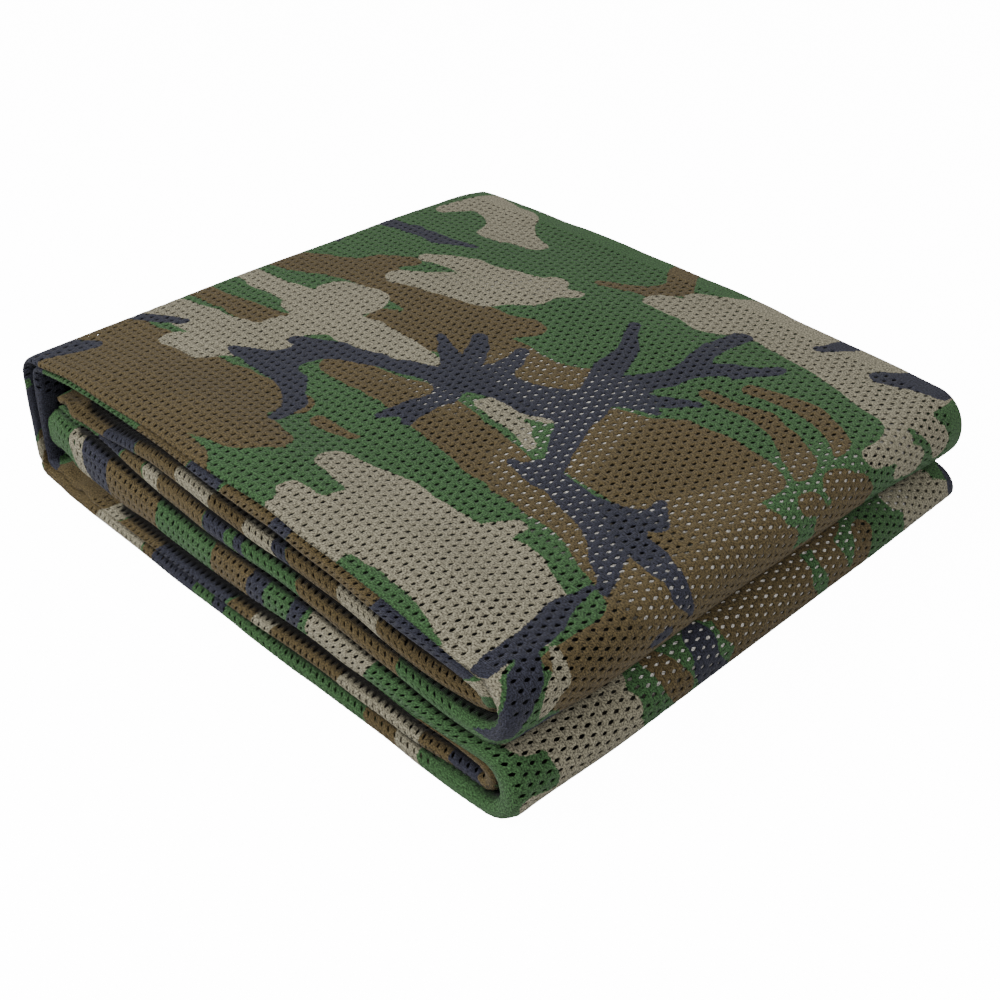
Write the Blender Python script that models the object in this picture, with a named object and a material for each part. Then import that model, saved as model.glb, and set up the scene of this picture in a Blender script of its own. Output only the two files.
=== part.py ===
"""Camouflage net folded into a flat pack: one sheet of mesh cloth.

The sheet is folded twice. First lengthwise into a strip of four layers, a (outermost), b, c and d.
Then both ends of the strip are folded to the middle and the strip is folded in half, which gives
four bundles of four layers: bundle 1 on top, bundle 4 on the floor.

X runs from the wrap, where the strip turns down from bundle 1 to bundle 4, to the two noses.
Y runs from the front edge, where the lengthwise folds show as eight ridges, to the back edge.
Z is up, and the pack lies on z = 0 with the origin in the middle of its base.
"""

import bpy
import numpy as np

MM = 0.001

# Driving sizes, in millimetres.
LENGTH = 320.0  # X, from the wrap to the noses
WIDTH = 283.5  # Y, from the front ridges to the back edge
SHEET = 1.2  # thickness of the cloth
GAP = 0.8  # air between neighbouring bundles
TONGUE = 1.5  # radius at which the innermost layer turns inside a nose
NOSE = 15.0  # how far a nose reaches past the flat runs
TONGUE_SET = 6.0  # how much further back the innermost layer turns
END_2 = -132.0  # where the strip's ends stop, beside the wrap
END_3 = -134.0
WRAP_TOP = 14.0  # radius of the wrap's upper corner
WRAP_BOTTOM = 6.0  # radius of its lower corner
WALL_TOP = 22.0  # thickness of the wrap's bundle, at the top and at the bottom
WALL_BOTTOM = 8.5
WALL_LEAN = 0.5  # how far the wall's foot stands in
WALL_BULGE = 2.0
WALL_LOW_X = -130.0  # where the inner layer's height at the wall's foot is read
INNER_TOP = 3.0  # radii at which the wrap's innermost layer turns
INNER_FOOT = 2.0
FOOT_TURN = 255.0  # the lower corner ends at this angle, before the rise
FLOOR_FROM = -118.0  # the floor layer is flat from here to the noses
EDGE_REACH = 6.0  # how far a lengthwise fold bulges in Y

# Heights between the bundles at stations along X, for the front edge, the middle and the back edge.
LEVEL_COLUMNS = ("x", "top", "one_two", "two_three", "three_four")
LEVELS = {
    "front": (
        (-140, 73.0, 62.5, 47.0, 13.0),
        (-110, 77.5, 65.0, 49.0, 12.5),
        (-60, 78.5, 68.0, 47.5, 12.5),
        (25, 76.5, 62.5, 39.5, 13.0),
        (85, 72.0, 58.5, 36.5, 13.0),
        (130, 67.5, 54.0, 32.5, 14.0),
        (148, 64.0, 50.5, 32.0, 15.0),
    ),
    "middle": (
        (-140, 72.5, 56.0, 38.5, 19.0),
        (-110, 73.5, 56.5, 38.5, 19.0),
        (-60, 73.5, 56.0, 37.5, 18.5),
        (25, 71.5, 54.0, 35.5, 17.5),
        (85, 67.5, 50.0, 32.5, 16.0),
        (130, 63.0, 46.5, 29.5, 15.0),
        (148, 60.5, 44.5, 28.5, 14.5),
    ),
    "back": (
        (-140, 70.5, 54.5, 37.0, 18.0),
        (-110, 71.0, 54.5, 37.0, 18.0),
        (-60, 70.5, 53.5, 36.0, 17.5),
        (25, 66.5, 49.0, 31.5, 15.5),
        (85, 62.0, 44.5, 27.5, 13.5),
        (130, 58.5, 40.5, 23.5, 11.5),
        (148, 56.5, 39.0, 21.5, 10.5),
    ),
}

# How far the upper and the lower nose reach in X at those three places, and how far the wrap's
# lower corner stands off the floor.
TIPS = {"front": (159.0, 162.0), "middle": (160.0, 163.5), "back": (159.5, 161.0)}
WRAP_LIFT = {"front": 10.0, "middle": 6.0, "back": 5.0}

# The front ridges. For each bundle, the height of its ridge between layers a and b, and how far
# that ridge (ab) and the one between c and d (cd) stand behind the front edge.
RIDGE_COLUMNS = (
    ("x", "ab1", "ab2", "ab3", "ab4")
    + ("sab1", "sab2", "sab3", "sab4")
    + ("scd1", "scd2", "scd3", "scd4")
)
RIDGES = (
    (-140, 7.0, 8.0, 24.0, 6.5, 2.0, 5.0, 4.0, 1.0, 13.0, 6.0, 5.0, 3.5),
    (-110, 6.5, 8.0, 27.0, 6.5, 1.5, 4.5, 2.5, 1.0, 13.0, 5.0, 4.5, 3.0),
    (-60, 6.0, 7.5, 25.0, 6.5, 1.5, 4.0, 2.5, 0.5, 12.5, 3.5, 4.0, 3.0),
    (25, 9.0, 12.5, 18.0, 6.5, 2.5, 3.5, 2.5, 0.0, 11.0, 4.0, 4.0, 3.0),
    (85, 9.7, 11.5, 17.5, 6.5, 2.5, 3.0, 2.5, 0.0, 8.5, 4.0, 4.0, 3.0),
    (130, 10.0, 13.5, 11.0, 7.0, 3.0, 3.0, 2.5, 0.0, 8.0, 5.0, 4.0, 3.0),
    (148, 9.5, 11.5, 10.5, 8.0, 3.0, 3.0, 2.5, 0.5, 9.0, 8.0, 5.0, 4.0),
)
RIDGE_LEAST = 3.0  # no ridge is lower than this many thicknesses of the sheet
RIDGE_GAP = 0.5  # air between a bundle's two ridges
BACK_SHARE = (0.0, 0.27, 0.73, 1.0)  # depths of the layers at the back edge, as shares of a bundle
BACK_SET = (2.0, 3.0, 5.0)  # how far layer a's edge, the b to c ridge and layer d's edge stand back
FRONT_BLEND = 60.0  # how far the front ridges' heights reach into the pack
BACK_BLEND = 80.0

# Samples along the strip and across it.
RUN_STEPS = 7
NOSE_STEPS = 8
CORNER_STEPS = 4
WALL_STEPS = 3
LAYER_STEPS = 6
FOLD_STEPS = 6


def column(rows, columns, name, x):
    """The named column of a table, between its stations, at x."""
    table = np.array(rows, float)
    return np.interp(x, table[:, 0], table[:, columns.index(name)])


def smooth(t):
    """0 to 1 with level ends."""
    t = np.clip(t, 0.0, 1.0)
    return t * t * (3.0 - 2.0 * t)


def edge_blends(y):
    """How much a point belongs to the front edge and to the back edge, by its y."""
    to_front = smooth((FRONT_BLEND - (y + WIDTH / 2.0)) / (FRONT_BLEND - EDGE_REACH))
    to_back = smooth((BACK_BLEND - (WIDTH / 2.0 - y)) / (BACK_BLEND - EDGE_REACH))
    return to_front, to_back


def arc(center, radii, start, end, steps):
    """Points on an ellipse, from one angle to another in degrees, without the first."""
    angle = np.radians(np.linspace(start, end, steps + 1)[1:])
    return center[0] + radii[0] * np.cos(angle), center[1] + radii[1] * np.sin(angle)


def strip_path(place):
    """The courses of the outermost and innermost layers in the XZ plane, at one of the three places.

    Returns x and z of each, and how much each sample belongs to each bundle."""

    def level(name, x):
        return column(LEVELS[place], LEVEL_COLUMNS, name, x)

    half = SHEET / 2.0
    near = GAP / 2.0 + half
    wall = -LENGTH / 2.0 + half
    tip_up, tip_low = (tip - half for tip in TIPS[place])
    pieces = []

    def add(outer, inner, bundle, into=None):
        share = np.zeros((4, len(outer[0])))
        turn = np.linspace(0.0, 1.0, len(outer[0]) + 1)[1:] if into else np.zeros(len(outer[0]))
        share[bundle - 1] += 1.0 - smooth(turn)
        share[(into or bundle) - 1] += smooth(turn)
        pieces.append(np.vstack([outer[0], outer[1], inner[0], inner[1], share]))

    def run(start, end, name, side, steps):
        x = np.linspace(start, end, steps + 1)
        return x, level(name, x) + side

    def nose(base, bottom, top, between, bundle, into):
        outer = arc((base, (top + bottom) / 2.0), (NOSE, (top - bottom) / 2.0), -90, 90, NOSE_STEPS)
        turn = base - TONGUE_SET
        inner = arc((turn, level(between, turn)), (TONGUE, TONGUE), -90, 90, NOSE_STEPS)
        add(outer, inner, bundle, into)

    up, low = tip_up - NOSE, tip_low - NOSE
    add(
        run(END_2, up, "two_three", near, RUN_STEPS),
        run(END_2, up - TONGUE_SET, "one_two", -TONGUE, RUN_STEPS),
        2,
    )
    nose(up, level("two_three", up) + near, level("top", up) - half, "one_two", 2, 1)
    top_start = wall + WRAP_TOP
    outer = run(up, top_start, "top", -half, RUN_STEPS)
    inner_top = wall + WALL_TOP + INNER_TOP
    inner = run(up - TONGUE_SET, inner_top, "one_two", TONGUE, RUN_STEPS)
    add((outer[0][1:], outer[1][1:]), (inner[0][1:], inner[1][1:]), 1)
    # The wrap: an upper corner, the wall and a lower corner, then the rise from the floor.
    high = level("top", top_start) - half
    lift = WRAP_LIFT[place] + half
    inner_high = level("one_two", inner_top) + TONGUE
    inner_low = level("three_four", WALL_LOW_X) - TONGUE
    outer_corner = arc((top_start, high - WRAP_TOP), (WRAP_TOP, WRAP_TOP), 90, 180, CORNER_STEPS)
    inner_center = (inner_top, inner_high - INNER_TOP)
    inner_corner = arc(inner_center, (INNER_TOP, INNER_TOP), 90, 180, CORNER_STEPS)
    down = np.linspace(0.0, 1.0, WALL_STEPS + 1)[1:]
    foot = lift + WRAP_BOTTOM
    inner_foot = inner_low + INNER_FOOT
    wall_z = high - WRAP_TOP + (foot - high + WRAP_TOP) * down
    outer_wall = (wall + WALL_LEAN * down - WALL_BULGE * np.sin(np.pi * down), wall_z)
    inner_wall = (
        inner_corner[0][-1] + (WALL_BOTTOM - WALL_TOP) * smooth(down),
        inner_corner[1][-1] + (inner_foot - inner_corner[1][-1]) * down,
    )
    low_center = (wall + WALL_LEAN + WRAP_BOTTOM, foot)
    outer_low = arc(low_center, (WRAP_BOTTOM, WRAP_BOTTOM), 180, FOOT_TURN, CORNER_STEPS)
    inner_center = (inner_wall[0][-1] + INNER_FOOT, inner_foot)
    inner_round = arc(inner_center, (INNER_FOOT, INNER_FOOT), 180, 270, CORNER_STEPS)
    rise = np.linspace(0.0, 1.0, WALL_STEPS + 1)[1:]
    outer_rise = (
        outer_low[0][-1] + (FLOOR_FROM - outer_low[0][-1]) * rise,
        half + (outer_low[1][-1] - half) * (1.0 - rise) ** 2,
    )
    inner_x = inner_round[0][-1] + (FLOOR_FROM - inner_round[0][-1]) * rise
    inner_rise = (inner_x, level("three_four", inner_x) - TONGUE)
    outer = np.hstack([outer_corner, outer_wall, outer_low, outer_rise])
    inner = np.hstack([inner_corner, inner_wall, inner_round, inner_rise])
    add(outer, inner, 1, 4)
    outer = (np.linspace(FLOOR_FROM, low, RUN_STEPS)[1:], np.full(RUN_STEPS - 1, half))
    inner = run(FLOOR_FROM, low - TONGUE_SET, "three_four", -TONGUE, RUN_STEPS - 1)
    add(outer, (inner[0][1:], inner[1][1:]), 4)
    nose(low, half, level("two_three", low) - near, "three_four", 4, 3)
    outer = run(low, END_3, "two_three", -near, RUN_STEPS)
    inner = run(low - TONGUE_SET, END_3, "three_four", TONGUE, RUN_STEPS)
    add((outer[0][1:], outer[1][1:]), (inner[0][1:], inner[1][1:]), 3)
    return np.hstack(pieces)


def ridge_values(path):
    """Along the strip, at the front edge: where the ridges part, and how far each stands back.

    The first two are shares of the bundle's thickness: the depth between the ridges, and half the
    sheet and half the air between them. The others are the set-backs of the ab and cd ridges."""
    x, share = path[0], path[4:]
    heights = ("top", "one_two", "two_three", "three_four", None)
    split = np.zeros_like(x)
    set_ab = np.zeros_like(x)
    set_cd = np.zeros_like(x)
    for bundle, (high, low) in enumerate(zip(heights[:-1], heights[1:]), start=1):
        thickness = column(LEVELS["front"], LEVEL_COLUMNS, high, x)
        if low:
            thickness = thickness - column(LEVELS["front"], LEVEL_COLUMNS, low, x)
        part = share[bundle - 1]
        split += part * column(RIDGES, RIDGE_COLUMNS, f"ab{bundle}", x) / thickness
        set_ab += part * column(RIDGES, RIDGE_COLUMNS, f"sab{bundle}", x)
        set_cd += part * column(RIDGES, RIDGE_COLUMNS, f"scd{bundle}", x)
    across_bundle = np.hypot(path[0] - path[2], path[1] - path[3])
    least = RIDGE_LEAST * SHEET / np.maximum(across_bundle, 2.0 * RIDGE_LEAST * SHEET)
    clear = (SHEET + RIDGE_GAP) / 2.0 / np.maximum(across_bundle, SHEET)
    return np.clip(split, least, 1.0 - least), clear, set_ab, set_cd


def across(path):
    """The lengthwise folds: y and depth share (0 at layer a, 1 at layer d) across the strip."""
    split, clear, set_ab, set_cd = ridge_values(path)
    front, back = -WIDTH / 2.0 + SHEET / 2.0, WIDTH / 2.0 - SHEET / 2.0
    n = len(split)
    one = np.ones(n)
    near_front = [0.0 * one, split - clear, split + clear, one]
    near_back = [share * one for share in BACK_SHARE]
    fold_ab = front + EDGE_REACH + set_ab
    fold_cd = front + EDGE_REACH + set_cd
    fold_bc = (back - EDGE_REACH - BACK_SET[1]) * one
    ends = [(back - BACK_SET[0]) * one, (back - BACK_SET[2]) * one]
    starts = [ends[0], fold_ab, fold_bc, fold_cd]
    stops = [fold_ab, fold_bc, fold_cd, ends[1]]
    ys, depths = [], []
    for layer in range(4):
        run = 0.5 - 0.5 * np.cos(np.pi * np.linspace(0.0, 1.0, LAYER_STEPS + 1))
        run = 0.5 * (run + np.linspace(0.0, 1.0, LAYER_STEPS + 1))
        y = starts[layer][:, None] + (stops[layer] - starts[layer])[:, None] * run
        to_front, to_back = edge_blends(y)
        even = layer / 3.0
        depth = even + to_front * (near_front[layer][:, None] - even)
        depth = depth + to_back * (near_back[layer][:, None] - even)
        ys.append(y)
        depths.append(depth)
        if layer == 3:
            break
        turn = np.pi * np.linspace(0.0, 1.0, FOLD_STEPS + 1)[1:-1]
        from_depth, to_depth = ((near_front, near_front), (near_back, near_back))[layer % 2]
        low, high = from_depth[layer], to_depth[layer + 1]
        side = -1.0 if layer % 2 == 0 else 1.0
        ys.append(stops[layer][:, None] + side * EDGE_REACH * np.sin(turn)[None, :])
        middle, reach = (low + high) / 2.0, (high - low) / 2.0
        depths.append(middle[:, None] - reach[:, None] * np.cos(turn)[None, :])
    return np.hstack(ys), np.hstack(depths)


def middle_surface():
    """The sheet's middle surface as a grid of points, along the strip and across it."""
    paths = {place: strip_path(place) for place in LEVELS}
    y, depth = across(paths["front"])
    to_front, to_back = edge_blends(y)
    weights = {"front": to_front, "back": to_back, "middle": 1.0 - to_front - to_back}
    x = np.zeros_like(y)
    z = np.zeros_like(y)
    for place, path in paths.items():
        outer_x, outer_z, inner_x, inner_z = (line[:, None] for line in path[:4])
        x += weights[place] * (outer_x + (inner_x - outer_x) * depth)
        z += weights[place] * (outer_z + (inner_z - outer_z) * depth)
    x -= (x.min() + x.max()) / 2.0
    y -= (y.min() + y.max()) / 2.0
    return np.stack([x, y, z], axis=2)


def clear_scene():
    for item in list(bpy.data.objects):
        bpy.data.objects.remove(item, do_unlink=True)


def cloth_material():
    material = bpy.data.materials.new("camouflage_mesh")
    material.use_nodes = True
    shader = material.node_tree.nodes["Principled BSDF"]
    shader.inputs["Base Color"].default_value = (0.12, 0.14, 0.08, 1.0)
    shader.inputs["Roughness"].default_value = 0.85
    shader.inputs["Metallic"].default_value = 0.0
    return material


def build_net():
    """The net as one sheet: the folded middle surface, thickened by a Solidify modifier."""
    points = middle_surface()
    rows, columns = points.shape[:2]
    index = np.arange(rows * columns).reshape(rows, columns)
    quads = np.stack([index[:-1, :-1], index[1:, :-1], index[1:, 1:], index[:-1, 1:]], axis=2)
    mesh = bpy.data.meshes.new("net")
    mesh.from_pydata((points.reshape(-1, 3) * MM).tolist(), [], quads.reshape(-1, 4).tolist())
    mesh.materials.append(cloth_material())
    mesh.shade_smooth()
    net = bpy.data.objects.new("net", mesh)
    bpy.context.collection.objects.link(net)
    thick = net.modifiers.new("cloth thickness", "SOLIDIFY")
    thick.thickness = SHEET * MM
    thick.offset = 0.0
    thick.use_even_offset = True
    return net


clear_scene()
build_net()
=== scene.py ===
import math

import bpy
import numpy as np
from mathutils import Matrix, Vector


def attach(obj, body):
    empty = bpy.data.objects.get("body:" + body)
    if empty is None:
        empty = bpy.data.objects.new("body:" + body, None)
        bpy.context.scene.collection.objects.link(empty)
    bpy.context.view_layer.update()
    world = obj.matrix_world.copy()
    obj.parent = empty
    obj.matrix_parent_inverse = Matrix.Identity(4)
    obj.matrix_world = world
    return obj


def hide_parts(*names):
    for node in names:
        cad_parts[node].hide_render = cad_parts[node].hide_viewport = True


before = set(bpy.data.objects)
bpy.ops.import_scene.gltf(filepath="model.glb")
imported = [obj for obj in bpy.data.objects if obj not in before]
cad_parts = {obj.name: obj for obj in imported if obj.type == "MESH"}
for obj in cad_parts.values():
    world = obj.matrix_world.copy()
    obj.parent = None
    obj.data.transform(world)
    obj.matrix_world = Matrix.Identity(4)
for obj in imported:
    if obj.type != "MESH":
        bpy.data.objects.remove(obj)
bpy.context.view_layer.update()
mm = 0.001
print("stage 1: frame loaded")

# The fold, in millimetres. The strip of four layers, a outermost to d innermost, goes: bundle 2 to
# the right, upper nose, bundle 1 to the left, wrap, bundle 4 to the right, lower nose, bundle 3 to
# the left.
fold = {
    "length": 320.0,
    "width": 283.5,
    "sheet": 0.5,
    "gap": 1.6,
    "tongue": 1.9,
    "nose": 15.0,
    "tongueSet": 6.0,
    "endTwo": -142.5,
    "endThree": -147.0,
    "wrapTop": 14.0,
    "wrapBottom": 3.5,
    "wallTop": 15.0,
    "wallBottom": 7.5,
    "wallIn": 2.6,  # how far in the wrap's wall starts, and how far out it leans on its way down
    "wallLean": 4.6,
    "wallBulge": 0.6,
    "wallLowX": -130.0,
    "innerTop": 3.0,
    "innerFoot": 2.0,
    "footTurn": 250.0,
    "floorFrom": -126.0,
    "edgeReach": 6.0,
    "underFar": 2.6,  # how deep layer b lies under layer a, where they touch, and round the bends
    "underNear": 0.85,
    "underBend": 1.1,
    "bendFrom": 132.0,  # how far from the middle the bends begin, and over how much they take over
    "bendFade": 10.0,
    "boxy": 0.12,  # how much squarer than a half ellipse a ridge is
    "ridgeLeast": 1.9,
    "ridgeGap": 0.7,
    "thinnest": 8.0,  # the least thickness of a bundle that a distance is shared out over
    "sagPower": 2.2,  # how near the front edge the top's rounding begins
    "backShare": (0.0, 0.13, 0.84, 1.0),
    "backSet": (3.0, 1.0, 5.0),
    "frontBlend": 60.0,
    "backBlend": 80.0,
    "tips": {"front": (159.0, 162.0), "middle": (160.0, 163.5), "back": (159.5, 161.0)},
    "wrapLift": {"front": 3.5, "middle": 4.0, "back": 4.0},
    "runSteps": 90,
    "noseSteps": 44,
    "cornerSteps": 18,
    "wallSteps": 24,
    "layerSteps": 70,
    "turnSteps": 26,
}
halfWidth = fold["width"] / 2.0

# Heights between the bundles, and further on the ridges, at stations along x.
stations = (-140, -110, -60, 25, 85, 130, 148)
levels = {
    "front": {
        "top": (72.5, 79.5, 83.8, 81.8, 76.8, 69.6, 64.0),
        "oneTwo": (62.0, 64.3, 66.0, 60.0, 56.4, 52.5, 50.0),
        "twoThree": (43.5, 43.0, 37.5, 35.0, 32.5, 31.0, 31.0),
        "threeFour": (14.0, 14.0, 14.0, 14.5, 15.0, 16.0, 15.5),
    },
    "middle": {
        "top": (72.5, 73.5, 73.5, 71.5, 67.5, 63.0, 60.5),
        "oneTwo": (56.0, 56.5, 56.0, 54.0, 50.0, 46.5, 44.5),
        "twoThree": (38.5, 38.5, 37.5, 35.5, 32.5, 29.5, 28.5),
        "threeFour": (19.0, 19.0, 18.5, 17.5, 16.0, 15.0, 14.5),
    },
    "back": {
        "top": (70.5, 71.0, 70.5, 66.5, 62.0, 58.5, 56.5),
        "oneTwo": (54.5, 54.5, 53.5, 49.0, 44.5, 40.5, 39.0),
        "twoThree": (37.0, 37.0, 36.0, 31.5, 27.5, 23.5, 21.5),
        "threeFour": (18.0, 18.0, 17.5, 15.5, 13.5, 11.5, 10.5),
    },
}

# For each bundle, the height of its ridge between layers a and b at the front edge (ab), how far that
# ridge (sab) and the one between c and d (scd) stand behind the edge, and for the upper two bundles how
# far layer d is drawn away from their common level (gap), which leaves the dark opening between
# them. Last, how far layer a's front edge hangs under the top (sag).
ridges = {
    "ab1": (4.2, 7.2, 10.2, 10.0, 8.8, 5.8, 4.2),
    "ab2": (3.5, 3.0, 12.0, 9.2, 9.0, 9.6, 9.8),
    "ab3": (25.0, 26.0, 20.5, 18.0, 14.0, 10.0, 9.5),
    "ab4": (8.0, 8.3, 8.5, 7.4, 8.2, 9.3, 8.6),
    "sab1": (2.0, 1.5, 1.5, 2.0, 2.0, 2.2, 2.4),
    "sab2": (8.0, 8.0, 5.0, 4.5, 4.0, 3.5, 3.0),
    "sab3": (4.0, 2.0, 2.0, 2.0, 2.0, 2.5, 2.5),
    "sab4": (1.0, 1.0, 0.5, 0.0, 0.0, 0.0, 0.5),
    "scd1": (3.0, 2.2, 1.8, 2.0, 2.0, 2.2, 3.6),
    "scd2": (7.0, 7.0, 6.5, 7.0, 7.0, 6.0, 8.0),
    "scd3": (8.0, 8.0, 8.0, 8.0, 7.0, 5.0, 5.0),
    "scd4": (2.5, 2.5, 2.0, 2.0, 2.5, 3.0, 4.0),
    "gap1": (1.0, 3.4, 3.0, 1.8, 0.8, 0.2, 0.2),
    "gap2": (7.0, 11.0, 6.5, 6.0, 5.0, 4.0, 1.0),
    "sag": (0.0, 3.0, 5.8, 5.8, 4.8, 2.2, 0.0),
}


def smooth(t):
    # 3t^2 - 2t^3 between 0 and 1
    t = np.clip(t, 0.0, 1.0)
    return t * t * (3.0 - 2.0 * t)


def station(table, name, x):
    # the named values between their stations: a cubic through them, with each slope taken from the
    # neighbours on both sides, and level beyond the last ones
    at, value = np.array(stations, float), np.array(table[name], float)
    slope = np.gradient(value, at)
    i = np.clip(np.searchsorted(at, x) - 1, 0, len(at) - 2)
    step = at[i + 1] - at[i]
    t = np.clip((x - at[i]) / step, 0.0, 1.0)
    start = (1.0 + 2.0 * t) * (1.0 - t) ** 2 * value[i] + t * (1.0 - t) ** 2 * step * slope[i]
    return start + t * t * (3.0 - 2.0 * t) * value[i + 1] - t * t * (1.0 - t) * step * slope[i + 1]


def edgeBlends(y):
    # how much a point belongs to the front and to the back edge: less with its distance from each
    reach = fold["edgeReach"]
    toFront = smooth((fold["frontBlend"] - (y + halfWidth)) / (fold["frontBlend"] - reach))
    toBack = smooth((fold["backBlend"] - (halfWidth - y)) / (fold["backBlend"] - reach))
    return toFront, toBack


def arc(center, radii, start, end, steps):
    # center + (rx cos angle, rz sin angle), from one angle to another, without the first point
    angle = np.radians(np.linspace(start, end, steps + 1)[1:])
    return center[0] + radii[0] * np.cos(angle), center[1] + radii[1] * np.sin(angle)


def stripPath(place):
    # The courses of layers a and d in the xz plane at one place: straight runs on the levels,
    # half ellipses at the noses, quarter circles and a bulged wall at the wrap. Rows: x and z of a,
    # x and z of d, then how much each sample belongs to bundles 1 to 4.
    def level(name, x):
        return station(levels[place], name, x)

    half = fold["sheet"] / 2.0
    near = fold["gap"] / 2.0 + half
    wall = -fold["length"] / 2.0 + half
    tongue, turnBack, reach = fold["tongue"], fold["tongueSet"], fold["nose"]
    wallSteps, cornerSteps = fold["wallSteps"], fold["cornerSteps"]
    parts = []

    def add(outer, inner, bundle, into=None):
        share = np.zeros((4, len(outer[0])))
        turn = np.linspace(0.0, 1.0, len(outer[0]) + 1)[1:] if into else np.zeros(len(outer[0]))
        share[bundle - 1] += 1.0 - smooth(turn)
        share[(into or bundle) - 1] += smooth(turn)
        parts.append(np.vstack([outer[0], outer[1], inner[0], inner[1], share]))

    def run(start, end, name, side, steps=fold["runSteps"], first=1):
        x = np.linspace(start, end, steps + 1)[first:]
        return x, level(name, x) + side

    def nose(base, bottom, top, between, bundle, into):
        center, radii = (base, (top + bottom) / 2.0), (reach, (top - bottom) / 2.0)
        outer = arc(center, radii, -90, 90, fold["noseSteps"])
        turn = base - turnBack
        inner = arc((turn, level(between, turn)), (tongue, tongue), -90, 90, fold["noseSteps"])
        add(outer, inner, bundle, into)

    up, low = (tip - half - reach for tip in fold["tips"][place])
    outer = run(fold["endTwo"], up, "twoThree", near, first=0)
    add(outer, run(fold["endTwo"], up - turnBack, "oneTwo", -tongue, first=0), 2)
    nose(up, level("twoThree", up) + near, level("top", up) - half, "oneTwo", 2, 1)
    topStart = wall + fold["wallIn"] + fold["wrapTop"]
    innerTop = wall + fold["wallTop"] + fold["innerTop"]
    add(run(up, topStart, "top", -half), run(up - turnBack, innerTop, "oneTwo", tongue), 1)
    # the wrap
    wrapTop, wrapBottom = fold["wrapTop"], fold["wrapBottom"]
    high = level("top", topStart) - half
    lift = fold["wrapLift"][place] + half
    innerHigh = level("oneTwo", innerTop) + tongue
    innerLow = level("threeFour", fold["wallLowX"]) - tongue
    outerCorner = arc((topStart, high - wrapTop), (wrapTop, wrapTop), 90, 180, cornerSteps)
    center = (innerTop, innerHigh - fold["innerTop"])
    innerCorner = arc(center, (fold["innerTop"], fold["innerTop"]), 90, 180, cornerSteps)
    down = np.linspace(0.0, 1.0, wallSteps + 1)[1:]
    foot = lift + wrapBottom
    innerFoot = innerLow + fold["innerFoot"]
    outerWall = (
        wall + fold["wallIn"] - fold["wallLean"] * down - fold["wallBulge"] * np.sin(np.pi * down),
        high - wrapTop + (foot - high + wrapTop) * down,
    )
    innerWall = (
        innerCorner[0][-1] + (fold["wallBottom"] - fold["wallTop"]) * smooth(down),
        innerCorner[1][-1] + (innerFoot - innerCorner[1][-1]) * down,
    )
    center = (wall + fold["wallIn"] - fold["wallLean"] + wrapBottom, foot)
    outerLow = arc(center, (wrapBottom, wrapBottom), 180, fold["footTurn"], cornerSteps)
    center = (innerWall[0][-1] + fold["innerFoot"], innerFoot)
    innerRound = arc(center, (fold["innerFoot"], fold["innerFoot"]), 180, 270, cornerSteps)
    # from the wall's foot down to the floor
    outerRise = (
        outerLow[0][-1] + (fold["floorFrom"] - outerLow[0][-1]) * down,
        half + (outerLow[1][-1] - half) * (1.0 - down) ** 2,
    )
    innerX = innerRound[0][-1] + (fold["floorFrom"] - innerRound[0][-1]) * down
    innerRise = (innerX, level("threeFour", innerX) - tongue)
    outer = np.hstack([outerCorner, outerWall, outerLow, outerRise])
    inner = np.hstack([innerCorner, innerWall, innerRound, innerRise])
    add(outer, inner, 1, 4)
    inner = run(fold["floorFrom"], low - turnBack, "threeFour", -tongue, fold["runSteps"] - 1)
    outer = np.linspace(fold["floorFrom"], low, fold["runSteps"])[1:]
    add((outer, np.full_like(outer, half)), inner, 4)
    nose(low, half, level("twoThree", low) - near, "threeFour", 4, 3)
    inner = run(low - turnBack, fold["endThree"], "threeFour", tongue)
    add(run(low, fold["endThree"], "twoThree", -near), inner, 3)
    return np.hstack(parts)


# Irregularities of the hand-folded cloth, in millimetres.
unevenness = {
    "seed": 11,
    "ridgeDrift": 1.1,  # how far a ridge wanders in and out
    "ridgeDriftLength": 34.0,
    "ridgesApart": 13.7,  # between their lines in the noise
    "creaseDepth": 0.08,  # the soft crease under the top face's front edge, as a share of the reach
    "creaseAt": 1.0,  # radians round the fold from the top face
    "creaseWidth": 0.3,
    "swell": 1.0,  # slow waves through the whole pack
    "swellLength": 70.0,
    "ripple": 0.45,  # quicker ones near its edges
    "rippleLength": 19.0,
    "rippleFrom": 40.0,  # how far inside the edges these begin, and over how much they grow
    "rippleGrows": 36.0,
    "stillFloor": 12.0,  # the height over which all the waves grow from nothing
    "crumple": 2.0,  # the strip's ends beside the wrap
    "crumpleLength": 11.0,
    "crumpleFrom": -108.0,  # between two places along x and under a height
    "crumpleGrows": 18.0,
    "crumpleTo": -150.0,
    "crumpleTop": 62.0,
    "crumpleFades": 8.0,
    "cornerRound": 26.0,  # radius in plan of the corner between the wrap and the back edge
    "latticeDrift": 2.6,  # how far the rows of holes wander over the cloth
    "latticeLength": 95.0,
    "latticeStill": 12.0,  # cells from the cloth's edges over which this grows
    "latticeSeed": 31,
}


def waves(points, length, seed):
    # value noise from -1 to 1: random numbers on a cube lattice of the given spacing, blended
    # between the eight corners round each point with 3t^2 - 2t^3
    size, offset = 32, 7.3
    table = np.random.default_rng(seed).uniform(-1.0, 1.0, (size,) * 3).astype(np.float32)
    p = np.asarray(points, np.float32) / length + offset
    cell = np.floor(p).astype(np.int32)
    t = p - cell
    t = t * t * (3.0 - 2.0 * t)
    total = np.zeros(p.shape[:-1], np.float32)
    for corner in range(8):
        bits = ((corner >> 2) & 1, (corner >> 1) & 1, corner & 1)
        index = [(cell[..., k] + bits[k]) % size for k in range(3)]
        weight = 1.0
        for k in range(3):
            weight = weight * (t[..., k] if bits[k] else 1.0 - t[..., k])
        total += weight * table[index[0], index[1], index[2]]
    return total


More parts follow.
